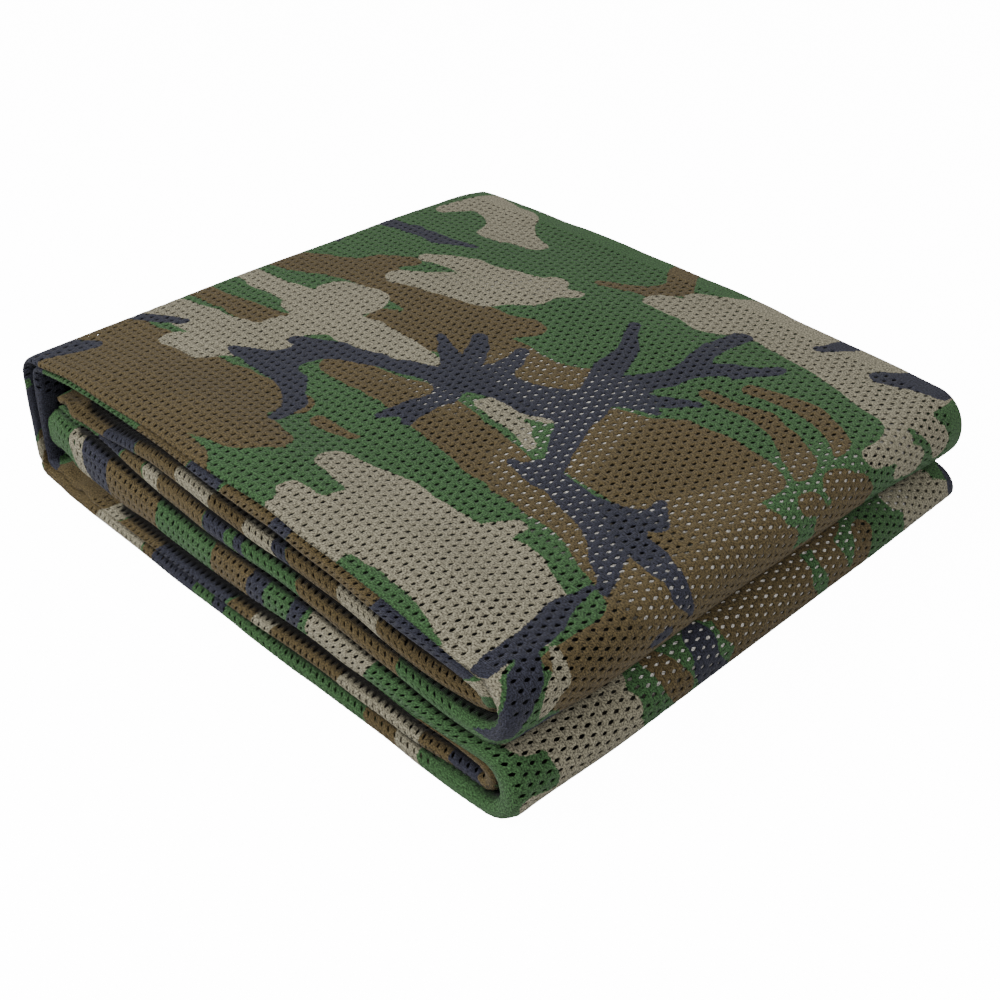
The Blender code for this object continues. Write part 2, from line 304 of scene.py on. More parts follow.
def throughBundle(path):
    # the distance between layers a and d, sample by sample
    return np.hypot(path[0] - path[2], path[1] - path[3])


def ridgeValues(path):
    # along the strip at the front edge: the depth share between the two ridges, half the space
    # between them and layer d's distance from its level as shares, and the set-backs of both
    # ridges, each wandering along a line of the noise that is its own
    x, share = path[0], path[4:]
    heights = ("top", "oneTwo", "twoThree", "threeFour", None)
    split, apart, setAb, setCd = np.zeros((4, len(x)))

    def drift(line):
        spots = np.stack([x, np.full_like(x, line * unevenness["ridgesApart"]), np.zeros_like(x)], axis=-1)
        return unevenness["ridgeDrift"] * waves(spots, unevenness["ridgeDriftLength"], unevenness["seed"])

    for bundle, (high, low) in enumerate(zip(heights[:-1], heights[1:]), start=1):
        thickness = station(levels["front"], high, x)
        if low:
            thickness = thickness - station(levels["front"], low, x)
        part = share[bundle - 1]
        split += part * station(ridges, f"ab{bundle}", x) / thickness
        setAb += part * (station(ridges, f"sab{bundle}", x) + drift(bundle))
        setCd += part * (station(ridges, f"scd{bundle}", x) + drift(bundle + 9))
        if bundle < 3:
            apart += part * station(ridges, f"gap{bundle}", x)
    thickness = throughBundle(path)
    least = fold["ridgeLeast"] / np.maximum(thickness, 2.0 * fold["ridgeLeast"])
    clear = (fold["sheet"] + fold["ridgeGap"]) / 2.0 / np.maximum(thickness, fold["sheet"])
    apart /= np.maximum(thickness, fold["thinnest"])
    split = np.clip(split, least, 1.0 - apart - least)
    return split, clear, apart, np.maximum(setAb, 0.0), np.maximum(setCd, 0.0)


# Where layer b touches layer a from below, so that its pale reverse shows in the holes. Each chain
# of tapered strokes goes through x, y, radius, x, y, radius and so on, as seen from above.
touching = (
    (10, 5, 20, 60, 15, 26, 72, -40, 22, 128, -62, 16), (118, -30, 10, 150, 0, 26),
    (150, 0, 24, 150, 52, 20), (-128, 2, 12, -96, 12, 14), (-70, 46, 10, -30, 74, 16),
    (30, 84, 12, 84, 100, 12), (150, -60, 14, 158, -20, 14), (150, 84, 8, 156, 104, 8),
    (-20, -40, 8, 20, -30, 12),
)

# The border of these places. How strokes make one field: the reach of their smooth union, the value
# far from all of them, and how far past its own box a stroke counts.
touchEdge = {"wander": 5.0, "wanderLength": 15.0, "width": 5.0, "seed": 61}
stroke = {"join": 3.0, "far": -60.0, "margin": 8.0}


def strokesOf(chains):
    # each chain's neighbouring spots in pairs, as x, y, radius, x, y, radius
    return [chain[i : i + 6] for chain in chains for i in range(0, len(chain) - 3, 3)]


def strokeField(spots, chains, join=stroke["join"]):
    # signed depth inside the union of tapered strokes: radius at the nearest place on a stroke's
    # line, less the distance to it, joined by a smooth maximum
    field = np.full(len(spots), stroke["far"])
    for x0, y0, r0, x1, y1, r1 in strokesOf(chains):
        low = np.array([min(x0 - r0, x1 - r1), min(y0 - r0, y1 - r1)]) - stroke["margin"]
        high = np.array([max(x0 + r0, x1 + r1), max(y0 + r0, y1 + r1)]) + stroke["margin"]
        near = np.flatnonzero(np.all((spots > low) & (spots < high), axis=1))
        if not len(near):
            continue
        p = spots[near] - (x0, y0)
        line = np.array([x1 - x0, y1 - y0], float)
        t = np.clip(p @ line / max(line @ line, 1e-6), 0.0, 1.0)
        depth = r0 + (r1 - r0) * t - np.hypot(p[:, 0] - t * line[0], p[:, 1] - t * line[1])
        close = np.maximum(join - np.abs(field[near] - depth), 0.0)
        field[near] = np.maximum(field[near], depth) + close * close / (4.0 * join)
    return field


def touchShare(x, y):
    # 1 where layer b touches layer a and 0 where it doesn't, with an uneven border
    spots = np.stack([x.ravel(), y.ravel()], axis=1)
    deep = np.column_stack([spots, np.zeros(len(spots))])
    uneven = waves(deep, touchEdge["wanderLength"], touchEdge["seed"])
    depth = strokeField(spots, touching) + touchEdge["wander"] * uneven
    return smooth(depth / touchEdge["width"]).reshape(x.shape)


def acrossLayers(path):
    # y and depth share (0 at layer a, 1 at layer d) across the strip: straight runs from edge to
    # edge, and half ellipses of the given reach at the three lengthwise folds
    split, clear, apart, setAb, setCd = ridgeValues(path)
    half = halfWidth - fold["sheet"] / 2.0
    one = np.ones(len(split))
    thickness = throughBundle(path)
    sag = path[4] * station(ridges, "sag", path[0]) / np.maximum(thickness, fold["thinnest"])
    nearFront = [sag, split - clear, split + clear, one - apart]
    nearBack = [share * one for share in fold["backShare"]]
    reach = fold["edgeReach"]
    foldAb = -half + reach + setAb
    foldCd = -half + reach + setCd
    foldBc = (half - reach - fold["backSet"][1]) * one
    ends = [(half - fold["backSet"][0]) * one, (half - fold["backSet"][2]) * one]
    starts = [ends[0], foldAb, foldBc, foldCd]
    stops = [foldAb, foldBc, foldCd, ends[1]]
    crease = path[4] * unevenness["creaseDepth"]
    ys, depths = [], []
    for layer in range(4):
        # steps halfway between even ones and a cosine's, which are closer near the folds
        along = np.linspace(0.0, 1.0, fold["layerSteps"] + 1)
        along = 0.5 * (along + 0.5 - 0.5 * np.cos(np.pi * along))
        y = starts[layer][:, None] + (stops[layer] - starts[layer])[:, None] * along
        toFront, toBack = edgeBlends(y)
        even = layer / 3.0
        if layer == 1:
            x = np.broadcast_to(path[0][:, None], y.shape)
            touch = touchShare(x, y)
            bend = smooth((np.abs(x) - fold["bendFrom"]) / fold["bendFade"])
            under = fold["underFar"] + (fold["underBend"] - fold["underFar"]) * bend
            under = under + (fold["underNear"] - under) * touch
            even = under / np.maximum(thickness, fold["thinnest"] / 2.0)[:, None]
        if layer == 0:
            toFront = toFront**fold["sagPower"]
        depth = even + toFront * (nearFront[layer][:, None] - even)
        depth = depth + toBack * (nearBack[layer][:, None] - even)
        ys.append(y)
        depths.append(depth)
        if layer == 3:
            break
        turn = np.pi * np.linspace(0.0, 1.0, fold["turnSteps"] + 1)[1:-1]
        edge = (nearFront, nearBack, nearFront)[layer]
        side = (-1.0, 1.0, -1.0)[layer]
        boxy = 1.0 - fold["boxy"]
        bulge = np.sin(turn)[None, :] ** boxy * np.ones((len(one), 1))
        if layer == 0:
            dent = np.exp(-(((turn - unevenness["creaseAt"]) / unevenness["creaseWidth"]) ** 2))
            bulge = bulge * (1.0 - crease[:, None] * dent[None, :])
        ys.append(stops[layer][:, None] + side * reach * bulge)
        middle = (edge[layer] + edge[layer + 1]) / 2.0
        span = (edge[layer + 1] - edge[layer]) / 2.0
        turned = np.sign(np.cos(turn)) * np.abs(np.cos(turn)) ** boxy
        depths.append(middle[:, None] - span[:, None] * turned[None, :])
    return np.hstack(ys), np.hstack(depths)


def foldedGrid():
    # the folded cloth: courses of a and d blended by the depth share, and the three places blended
    # by y. The box is then centred on the origin as the solid's is.
    paths = {place: stripPath(place) for place in levels}
    y, depth = acrossLayers(paths["front"])
    toFront, toBack = edgeBlends(y)
    weights = {"front": toFront, "back": toBack, "middle": 1.0 - toFront - toBack}
    x = np.zeros_like(y)
    z = np.zeros_like(y)
    for place, path in paths.items():
        outerX, outerZ, innerX, innerZ = (line[:, None] for line in path[:4])
        x += weights[place] * (outerX + (innerX - outerX) * depth)
        z += weights[place] * (outerZ + (innerZ - outerZ) * depth)
    x -= (x.min() + x.max()) / 2.0
    y -= (y.min() + y.max()) / 2.0
    return np.stack([x, y, z], axis=2)


def evenSteps(grid, count):
    # each line of the first axis cut into equal lengths: one interpolation over all the lines laid
    # end to end, each with its own whole number added to its share of the length
    lengths = np.linalg.norm(np.diff(grid, axis=0), axis=2)
    total = np.vstack([np.zeros((1, grid.shape[1])), np.cumsum(lengths, axis=0)])
    whole = 0.999999  # just short of the next line's whole number
    key = (total / total[-1] * whole + np.arange(grid.shape[1])[None, :]).T.ravel()
    wanted = (np.linspace(0.0, whole, count)[None, :] + np.arange(grid.shape[1])[:, None]).ravel()
    lines = [np.interp(wanted, key, grid[:, :, k].T.ravel()) for k in range(3)]
    return np.stack([line.reshape(grid.shape[1], count).T for line in lines], axis=2)


# The knitted mesh, in millimetres and in cells. Rows of holes run along the strip, each row shifted
# by half a pitch from the next.
mesh = {
    "pitch": 4.12,
    "rowPitch": 4.4,
    "holeLength": 3.05,  # across the strip
    "holeWidth": 1.45,  # along it
    "holeVaries": 0.16,  # by how much, as a share
    "holeShape": (0.74, 0.52),  # the four rim points between the tips, as shares of half the width and length
    "rimDip": 0.12,  # how far a hole's rim is drawn in
    "rimTurn": 0.45,  # how far the cloth's normal leans into the hole there
    "wallDepth": 0.62,  # of the hole's wall, and how much narrower the hole is at its foot
    "wallTaper": 0.9,
    "wallTurn": 3.0,  # how far its foot's normal leans inwards
    "zigzag": 0.13,  # corners of the hexagonal cells, as a share of the row pitch
    "samples": 4,  # of the dense grid, along each side of a cell
    "walk": "hrrhrhrhrrhrhr",  # between a cell's corners h and its hole's rim r
    "edgeSeen": 20.0,  # how far from the front and back edges the holes are open in every layer
    "foldCells": 3.6,  # within so many cells of a lengthwise fold, or of the cloth's own edge
    "edgeCells": 3.0,
    "pastTip": 7.0,  # how many cells past the noses' tips the outside ends
}

# Where holes are pressed shut: near the edges, on the floor up to a height at the front and at the
# back, beside the wrap's wall in cells, and round and under the lower nose's tip.
shut = {
    "near": 13.0,
    "floorFront": 1.6,
    "floorBack": 4.5,
    "wallCells": 11.0,
    "noseRim": 6.0,
    "underCells": 9.0,
    "underFront": (55.0, 8.0),  # up to this far from the front edge the height is this
    "underBack": 3.0,
}

coarse = foldedGrid()
lengthAlong = np.linalg.norm(np.diff(coarse, axis=0), axis=2).sum(0).max()
lengthAcross = np.linalg.norm(np.diff(coarse, axis=1), axis=2).sum(1).max()
columnCount = int(round(lengthAlong / mesh["pitch"]))
rowCount = int(round(lengthAcross / mesh["rowPitch"]))
dense = evenSteps(coarse, columnCount * mesh["samples"] + 1)
dense = evenSteps(dense.transpose(1, 0, 2), rowCount * mesh["samples"] + 1)
dense = np.ascontiguousarray(dense.transpose(1, 0, 2))


def shake(points):
    # the waves move the space that the pack fills, so that neighbouring layers move together
    seed = unevenness["seed"]
    fromFloor = smooth(points[..., 2] / unevenness["stillFloor"])
    past = np.abs(points[..., 1]) - halfWidth + unevenness["rippleFrom"]
    edge = smooth(past / unevenness["rippleGrows"]) * fromFloor
    fades = unevenness["crumpleFades"]
    atEnds = smooth((unevenness["crumpleFrom"] - points[..., 0]) / unevenness["crumpleGrows"])
    atEnds = atEnds * smooth((points[..., 0] - unevenness["crumpleTo"]) / fades)
    atEnds = atEnds * edge * smooth((unevenness["crumpleTop"] - points[..., 2]) / fades)
    moved = points.copy()
    for axis in range(3):
        slow = waves(points, unevenness["swellLength"], seed + axis)
        quick = waves(points, unevenness["rippleLength"], seed + 5 + axis)
        crumple = waves(points, unevenness["crumpleLength"], seed + 9 + axis)
        moved[..., axis] += fromFloor * unevenness["swell"] * slow + edge * unevenness["ripple"] * quick
        moved[..., axis] += atEnds * unevenness["crumple"] * crumple
    # the corner in plan, from a square to a quarter circle: each share times root(1 - other^2 / 2)
    radius = unevenness["cornerRound"]
    u = np.clip((-points[..., 0] - fold["length"] / 2.0 + radius) / radius, 0.0, 1.0)
    v = np.clip((points[..., 1] - halfWidth + radius) / radius, 0.0, 1.0)
    moved[..., 0] += radius * u * (1.0 - np.sqrt(1.0 - v * v / 2.0))
    moved[..., 1] -= radius * v * (1.0 - np.sqrt(1.0 - u * u / 2.0))
    return moved


dense = shake(dense)
print(f"stage 2: cloth folded, {lengthAlong:.0f} x {lengthAcross:.0f} mm, {columnCount} x {rowCount} cells")


def unit(vectors):
    # each vector divided by its length
    return vectors / np.maximum(np.linalg.norm(vectors, axis=-1, keepdims=True), 1e-9)


# unit normals of the dense grid, from the cross product of its two tangents
tangentAlong = np.gradient(dense, axis=0)
tangentAcross = np.gradient(dense, axis=1)
normals = unit(np.cross(tangentAlong, tangentAcross))
tangentAlong, tangentAcross = unit(tangentAlong), unit(tangentAcross)


def sample(grid, along, across):
    # bilinear reading of a dense grid, at places counted in cells
    last = 1.001  # from the grid's size, just inside its last cell
    a = np.clip(along * mesh["samples"], 0.0, grid.shape[0] - last)
    b = np.clip(across * mesh["samples"], 0.0, grid.shape[1] - last)
    i, j = a.astype(int), b.astype(int)
    s, t = (a - i)[..., None], (b - j)[..., None]
    low = grid[i, j] * (1.0 - s) + grid[i + 1, j] * s
    high = grid[i, j + 1] * (1.0 - s) + grid[i + 1, j + 1] * s
    return low * (1.0 - t) + high * t


def drifted(along, across):
    # the rows of holes wander: slow noise added to both places, none at the cloth's edges
    flat = np.stack([along * mesh["pitch"], across * mesh["rowPitch"], np.zeros_like(along)], axis=-1)
    toEdge = np.minimum(np.minimum(along, columnCount - along), np.minimum(across, rowCount - across))
    amount = unevenness["latticeDrift"] * smooth(toEdge / unevenness["latticeStill"])
    length, seed = unevenness["latticeLength"], unevenness["latticeSeed"]
    moveAlong = amount * waves(flat, length, seed) / mesh["pitch"]
    moveAcross = amount * waves(flat, length, seed + 1) / mesh["rowPitch"]
    return along + moveAlong, across + moveAcross


# where the cells' middles lie, to choose which have open holes and to place the print
cellColumn, cellRow = np.meshgrid(np.arange(columnCount), np.arange(rowCount), indexing="ij")
cellAlong = cellColumn + 0.5 + 0.5 * (cellRow % 2)
cellAcross = cellRow + 0.5
cellSpot = sample(dense, cellAlong, cellAcross)

# Landmarks in cells. Rows of the lengthwise folds: where y turns, at the middle of the top.
meanY = dense[..., 1].mean(axis=0)
quarter = len(meanY) // 4
rowAb = np.argmin(meanY[: 2 * quarter]) / mesh["samples"]
rowBc = (quarter + np.argmax(meanY[quarter : 3 * quarter])) / mesh["samples"]
rowCd = (2 * quarter + np.argmin(meanY[2 * quarter :])) / mesh["samples"]


def turnsOf(row):
    # columns of the upper nose's tip, of the wrap's wall and of the lower nose's tip, on one row
    x = dense[:, int(row * mesh["samples"]), 0]
    middle = int(np.argmin(x[len(x) // 4 : 3 * len(x) // 4])) + len(x) // 4
    return int(np.argmax(x[:middle])), middle, middle + int(np.argmax(x[middle:]))


def columnAt(bundle, row, x):
    # the column at which a bundle's row passes x
    up, wrap, low = turnsOf(row)
    start, stop = {2: (0, up), 1: (up, wrap), 4: (wrap, low), 3: (low, len(dense))}[bundle]
    line = dense[start:stop, int(row * mesh["samples"]), 0]
    order = np.argsort(line)
    return (start + np.interp(x, line[order], order)) / mesh["samples"]


middleRow = rowAb / 2.0
topColumn = columnAt(1, middleRow, 0.0)
topLine = dense[int(topColumn * mesh["samples"]), : int(rowAb * mesh["samples"]), 1]
topRow = np.interp(0.0, topLine[::-1], np.arange(len(topLine))[::-1]) / mesh["samples"]
noseUp, wallMiddle, noseLow = (n / mesh["samples"] for n in turnsOf(middleRow))

# which cells have open holes: those outside, and those near the folds and edges that can be seen
y, z = cellSpot[..., 1], cellSpot[..., 2]
toFront, toBack = y + halfWidth, halfWidth - y
outside = (cellAlong > noseUp - mesh["pastTip"]) & (cellAlong < noseLow + mesh["pastTip"])
outside &= cellAcross < rowAb
nearEdge = np.abs(y) > halfWidth - mesh["edgeSeen"]
hem = (cellRow < 2) | (cellRow > rowCount - 3) | (cellColumn == 0) | (cellColumn == columnCount - 1)
toFold = np.minimum(np.abs(cellAcross - rowBc), np.abs(cellAcross - rowCd))
toFold = np.minimum(toFold, np.maximum(cellAcross - rowAb, 0.0))
aboutFold = (toFold < mesh["foldCells"]) | (rowCount - cellAcross < mesh["edgeCells"])
pressedShut = (z < shut["floorFront"]) & (np.abs(toFront) < shut["near"])
pressedShut |= (z < shut["floorBack"]) & (toBack < shut["near"])
onWall = (np.abs(cellAlong - wallMiddle) < shut["wallCells"]) & (toFront < shut["near"])
underHeight = np.where(toFront < shut["underFront"][0], shut["underFront"][1], shut["underBack"])
underNose = (np.abs(cellAlong - noseLow) < shut["underCells"]) & (z < underHeight)
toNose = np.minimum(np.abs(cellAlong - noseUp), np.abs(cellAlong - noseLow))
pressedShut |= onWall | underNose | ((toNose < mesh["pastTip"]) & (toFront < shut["noseRim"]))
openCell = (outside | (nearEdge & aboutFold)) & ~hem & ~pressedShut
holeScale = 1.0 + mesh["holeVaries"] * np.random.default_rng(5).uniform(-1.0, 1.0, (2, columnCount, rowCount))
print(f"stage 3: cells laid out, {openCell.sum()} of {openCell.size} open")

# The print, in millimetres on the unfolded cloth, as seen on the top of the pack. Patches are
# chains of tapered strokes: x, y, radius, x, y, radius and so on.
printed = {
    "brown": (
        (-134, -142, 11, -60, -146, 12), (-60, -146, 13, -20, -146, 15), (-56, -158, 13, -22, -158, 15),
        (-20, -148, 13, 2, -146, 5), (-150, -128, 16, -60, -118, 20, -18, -112, 14),
        (-140, -100, 16, -45, -96, 18), (-18, -112, 12, -8, -108, 8), (-60, -92, 16, -30, -84, 10),
        (-152, -48, 5, -104, -44, 7, -86, -39, 7),
        (-150, 2, 10, -112, 16, 12, -70, 22, 13, -24, 20, 17, -4, 34, 9), (-110, 30, 8, -98, 40, 6),
        (-60, -6, 10, -30, 2, 14, 30, 12, 12, 44, 22, 8),
        (-40, -48, 9, 6, -44, 12, 62, -50, 13, 112, -56, 9, 150, -66, 12),
        (84, -16, 17, 126, -10, 24, 156, -22, 26), (100, 14, 16, 132, 18, 16), (66, 2, 9, 92, 8, 14),
        (86, 52, 4, 112, 55, 5, 140, 44, 5, 165, 22, 6), (96, 70, 4, 122, 73, 5, 148, 62, 5, 172, 44, 6),
        (-17, 96, 3, 2, 104, 6, 10, 118, 7, -4, 138, 7), (-10, -84, 4, 12, -81, 2),
    ),
    "khaki": (
        (-114, -86, 6, -96, -80, 9, -88, -66, 14), (-152, -70, 11, -104, -64, 13, -80, -54, 13),
        (-88, -44, 10, -76, -30, 10), (-102, -24, 9, -58, -22, 12, -24, -20, 9), (-24, -20, 7, 2, -15, 4),
        (-152, -22, 7, -112, -20, 8), (-98, -8, 12, -82, -2, 13), (-82, -2, 11, -76, 2, 8),
        (-88, 26, 7, -66, 38, 10, -42, 44, 13, -28, 60, 11, -30, 74, 7),
        (-94, 50, 5, -72, 58, 8, -40, 64, 9), (-22, 70, 5, -14, 74, 4),
        (-142, 104, 6, -134, 126, 10, -108, 122, 12, -94, 104, 13, -76, 102, 7), (34, -136, 9, 66, -138, 8),
        (134, -144, 8, 142, -132, 8), (134, -156, 8, 142, -156, 8), (26, -126, 5, 60, -128, 9),
        (60, -124, 9, 104, -120, 8, 142, -132, 8), (48, -118, 10, 108, -112, 15, 132, -112, 17),
        (20, -100, 8, 60, -98, 14, 108, -92, 15, 128, -96, 13), (92, -80, 6, 96, -70, 3),
        (28, -27, 4, 50, -26, 5), (50, -27, 4, 64, -32, 3), (30, -22, 4, 52, -12, 4),
        (14, 100, 9, 40, 104, 12, 62, 118, 14), (26, 116, 10, 60, 134, 14),
        (62, 118, 14, 112, 112, 13, 150, 106, 13, 162, 88, 10), (70, 134, 12, 150, 132, 14),
    ),
    "navy": (
        (-182, -158, 10, -152, -142, 9), (-166, -150, 9, -146, -132, 6),
        (-150, -136, 6, -141, -122, 7, -136, -114, 4), (-158, -92, 3, -146, -84, 4, -126, -74, 3),
        (-84, -71, 3, -66, -67, 7, -44, -70, 6, -28, -82, 4, -22, -96, 3), (-62, -64, 9, -58, -48, 9),
        (-72, -48, 4, -52, -42, 8, -30, -32, 5, -14, -27, 5), (8, -64, 2, 11, -50, 5),
        (17, -58, 2, 12, -46, 4), (11, -50, 5, 12, -34, 6, 4, -24, 8),
        (-16, -26, 5, 4, -24, 8, 16, -14, 10), (-2, -14, 7, -16, -6, 4, -28, 1, 3),
        (4, -10, 7, -8, 4, 4, -14, 14, 3.5), (14, -8, 8, 12, 8, 4, 9, 14, 4),
        (16, -14, 10, 40, -6, 11, 56, 4, 12), (56, 4, 10, 66, -14, 6, 80, -32, 5),
        (80, -40, 7, 112, -46, 9), (66, -46, 2, 84, -44, 6), (112, -46, 9, 130, -58, 7, 142, -74, 2),
        (112, -42, 8, 142, -46, 6, 164, -56, 3), (118, -38, 7, 128, -30, 5, 124, -20, 2),
        (56, 4, 11, 56, 22, 9), (52, 18, 8, 44, 38, 7, 38, 54, 4, 27, 70, 3), (64, 20, 6, 84, 36, 3),
        (66, 24, 4, 90, 42, 2.5), (62, 16, 4, 82, 24, 2),
        (58, 22, 8, 66, 46, 6, 68, 62, 6, 62, 82, 5, 61, 102, 5), (68, 62, 6, 82, 76, 5, 91, 90, 3.5),
        (-158, 68, 5, -130, 71, 5, -108, 72, 5, -88, 76, 2), (-158, 30, 6, -151, 38, 5),
        (-160, 84, 3, -154, 92, 3), (143, -130, 4, 144, -108, 6, 138, -92, 4, 136, -76, 2),
        (146, -136, 5, 156, -140, 7), (86, 124, 3, 94, 140, 5), (122, 126, 6, 132, 134, 7, 154, 138, 6),
    ),
}

# The two noses and the wrap's wall have patches of their own. Their chains go through the height
# round the bend from its tip, y, radius and so on.
nosePrint = {
    "upper": {
        "brown": (
            (22, -98, 8, 24, -58, 9), (26, -40, 8, 26, 4, 8), (12, -110, 8, 12, -60, 9),
            (12, -38, 9, 12, 2, 8), (12, 26, 5, 10, 32, 5), (12, 46, 6, 8, 54, 6),
            (0, -112, 8, -2, -40, 10), (-2, -36, 9, 0, 8, 9), (0, 34, 6, 0, 60, 8),
            (-13, -104, 9, -13, -40, 9), (-15, -32, 9, -15, 62, 9),
        ),
        "khaki": (
            (12, 74, 6, 12, 92, 7), (0, 88, 5, 0, 100, 6), (16, 110, 8, 2, 120, 6),
            (24, -142, 10, 14, -150, 9), (18, -109, 2, 6, -115, 4), (4, -118, 4, -2, -122, 4),
        ),
        "navy": (
            (26, -114, 4, 12, -128, 6, -2, -142, 7, -16, -150, 6), (26, -46, 6, 10, -50, 4, 0, -47, 2),
            (-16, -128, 7, -15, -104, 5), (-3, -65, 3, -2, -60, 3),
        ),
    },
    "lower": {
        "brown": (
            (-9, -12, 13, -6, 22, 12), (10, -12, 12, 12, 22, 11), (18, -58, 5, 2, -52, 7),
            (11, 44, 6, -6, 49, 6), (-4, 62, 6, 13, 66, 6), (19, 104, 5, 17, 116, 5),
            (-14, 60, 5, -14, 70, 5), (26, -20, 9, 26, 50, 9),
        ),
        "khaki": (
            (24, -120, 9, 24, -80, 9), (10, -108, 10, 8, -82, 10), (-4, -108, 10, -4, -84, 10),
            (-4, -132, 5, -10, -120, 6), (0, 106, 11, -2, 128, 11), (16, 98, 7, 14, 122, 7),
            (-12, 110, 8, -12, 134, 7),
        ),
        "navy": (
            (15, -33, 7, 2, -36, 7, -16, -31, 10), (4, 138, 5, 14, 142, 6), (-20, -124, 4, -22, -112, 5),
        ),
    },
    "wall": {
        "brown": (
            (-38, -120, 18, -20, -114, 16, -6, -96, 10, -2, -84, 6),
            (8, -148, 9, 36, -134, 14, 24, -108, 9),
            (-38, 4, 10, -20, 12, 12, 0, 16, 11, 12, 34, 12, 38, 46, 10),
            (-10, 88, 7, 2, 104, 11, 22, 116, 10), (-12, 132, 8, -22, 146, 8),
        ),
        "khaki": (
            (-38, -70, 11, -22, -66, 11, -12, -48, 8, -16, -32, 5), (-38, -22, 7, -26, -18, 6),
            (38, -36, 14, 20, -28, 11, 10, -8, 6), (38, 84, 14, 20, 74, 11, 8, 60, 7),
            (-38, 112, 9, -24, 110, 8), (-8, -142, 4, -2, -144, 4),
        ),
        "navy": (
            (-38, -150, 12, -22, -146, 10), (-38, 30, 6, -24, 38, 5, -12, 54, 5, -16, 70, 3),
            (-12, 54, 5, 0, 62, 3), (18, -84, 5, 8, -72, 6, 2, -54, 6, 8, -40, 3), (2, -60, 5, -8, -66, 3),
            (38, 8, 6, 24, 8, 5, 16, -2, 3), (24, 8, 5, 18, 18, 3), (36, 128, 6, 18, 138, 6),
        ),
    },
}

# The ridges' own patches, for each bundle and fold: from x to x, how far the patch leans, colour.
# Bundle 0 is the wrap's wall, by the distance along the strip from its middle.
ridgePrint = {
    (1, "cd"): (
        (-156, -140, 0, "navy"), (-60, -24, 4, "brown"), (-23, -1, 4, "navy"), (0, 30, 2, "brown"),
        (29, 39, 2, "navy"), (40, 92, 4, "brown"), (91, 136, 5, "navy"), (137, 143, 1, "khaki"),
        (148, 165, 1, "navy"),
    ),
    (2, "cd"): (
        (-142, -99, 3, "brown"), (-100, -76, 5, "navy"), (-75, -40, 4, "brown"), (-40, -16, 4, "khaki"),
        (-16, 6, 4, "brown"), (5, 24, 4, "khaki"), (24, 32, 3, "navy"), (32, 64, 4, "brown"),
        (64, 88, 4, "khaki"), (88, 165, 3, "brown"),
    ),
    (2, "ab"): (
        (-108, -88, 4, "navy"), (-86, -69, 2, "brown"), (-68, -56, 3, "khaki"), (-56, -20, 4, "brown"),
        (-19, -4, 4, "navy"), (3, 8, 2, "navy"), (40, 100, 5, "brown"),
    ),
    (3, "ab"): (
        (-125, -112, 3, "khaki"), (-113, -94, 4, "navy"), (-95, -57, 6, "brown"), (-14, 12, 6, "brown"),
        (11, 21, 4, "navy"), (35, 42, 3, "navy"), (46, 84, 6, "khaki"),
    ),
    (3, "cd"): (
        (-152, -102, 2, "brown"), (-90, -62, 4, "brown"), (-50, -10, 4, "navy"), (20, 62, 4, "brown"),
        (112, 150, 4, "brown"),
    ),
    (4, "cd"): (
        (-152, -104, 2, "brown"), (-104, -92, 3, "khaki"), (-91, -60, 4, "brown"), (-60, -8, 4, "navy"),
        (-6, 8, 3, "brown"), (8, 20, 3, "khaki"), (20, 64, 4, "brown"), (64, 112, 4, "khaki"),
        (112, 128, 3, "brown"), (127, 140, 3, "navy"), (140, 152, 2, "brown"),
    ),
    (4, "ab"): (
        (-160, -112, 2, "brown"), (-112, -76, 4, "khaki"), (-74, -63, 3, "brown"), (-64, -32, 4, "navy"),
        (-16, -8, 3, "navy"), (84, 104, 4, "brown"), (103, 117, 3, "khaki"),
    ),
    (0, "ab"): ((-40, -14, 1, "navy"), (-14, 60, 2, "brown"), (-9, -1, 2, "khaki")),
    (0, "cd"): ((-44, 8, 2, "navy"),),
}

# The whole print repeats over the rest of the cloth: columns and rows away, every second one turned
# round.
repeats = [(column, row) for row in range(4) for column in range(-2, 3) if (column, row) != (0, 0)]
repeatLength, repeatWidth = 330.0, 285.0
inks = ("brown", "khaki", "navy")
blur = {"wobble": 3.0, "wobbleLength": 22.0, "fray": 1.0, "frayLength": 6.0, "seed": 41}

# Where the one print gives way to the other, in millimetres on the unfolded cloth.
zones = {
    "topShift": 10.0,  # from the print's middle to the top's, along the strip
    "topHalf": 175.0,
    "topFade": 8.0,
    "rollHalf": (178.0, 18.0),  # the front edge's roll, without repeats: half its length and width
    "repeatHalf": (185.0, 160.0),
    "bands": {"ab": 24.0, "cd": 20.0},  # the ridges' own patches, to each side of the fold
    "bandFade": 4.0,
    "pastAb": 6.0,  # how far past the first fold layer a's own patches go
    "noseBelow": 34.0,  # the noses' and the wall's, down and up from the middle of the bend
    "noseAbove": {"upper": 22.0, "lower": 34.0, "wall": 34.0},
    "noseFade": 6.0,
    "deepest": -10.0,  # the fields are cut off here before they are blended
}
ridgePatch = {
    "reach": 17.0,  # to each side of the fold
    "stop": -3.0,  # or short of it, on the layer that lies against the wrap's wall
    "radius": 7.0,
    "step": 6.0,
}
reverseEdge = {"fromAb": 5.0, "toBc": 2.0, "fade": 2.0}  # in cells

# Painted shade on the unlit inside of the pack.
unlit = {
    "clear": 2.0,  # how far behind its own ridge's tip the cloth is still lit, and how soon it is dark
    "fade": 2.4,
    "openClear": 10.0,  # how much further light reaches beside the wrap and at the strip's ends
    "wrapCells": 16.0,
    "endCells": 7.0,
    "noseCells": 6.0,  # how far past the noses' tips layer a is still outside
    "cellFade": 4.0,
    "backClear": 22.0,  # how far from the back edge it is lit again
    "backFade": 10.0,
}


